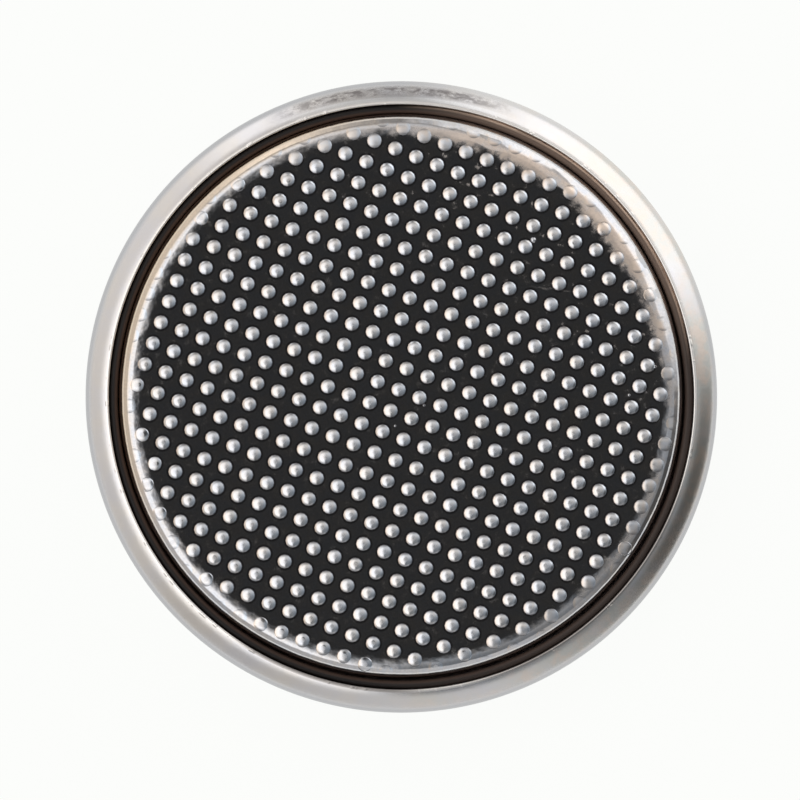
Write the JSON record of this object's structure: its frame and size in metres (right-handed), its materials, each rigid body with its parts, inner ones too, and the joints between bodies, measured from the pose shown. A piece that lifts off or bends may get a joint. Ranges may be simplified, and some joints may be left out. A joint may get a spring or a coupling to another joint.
{
  "type": "lithium coin cell",
  "caption": "Flat round lithium coin cell: crimped steel can, dark sealing ring and a dotted negative cap.",
  "frame": {"origin": "centre of the positive can's flat base", "axes": "+Z from the base up through the negative cap, square to both faces"},
  "size_m": [0.02, 0.02, 0.0032],
  "materials": {
    "can_steel": "nickel-plated, satin, lightly scuffed",
    "gasket_plastic": "moulded, dark brown",
    "cap_steel": "nickel-plated, bright, embossed with dots",
    "lithium_metal": "soft rolled metal",
    "separator_fleece": "thin nonwoven",
    "cathode_mix": "pressed powder",
    "ring_steel": "pressed sheet"
  },
  "bodies": {
    "root": {"positive_can": "can_steel", "gasket": "gasket_plastic", "negative_cap": "cap_steel", "lithium_anode": "lithium_metal", "separator": "separator_fleece", "cathode_pellet": "cathode_mix", "cathode_ring": "ring_steel"}
  },
  "joints": []
}
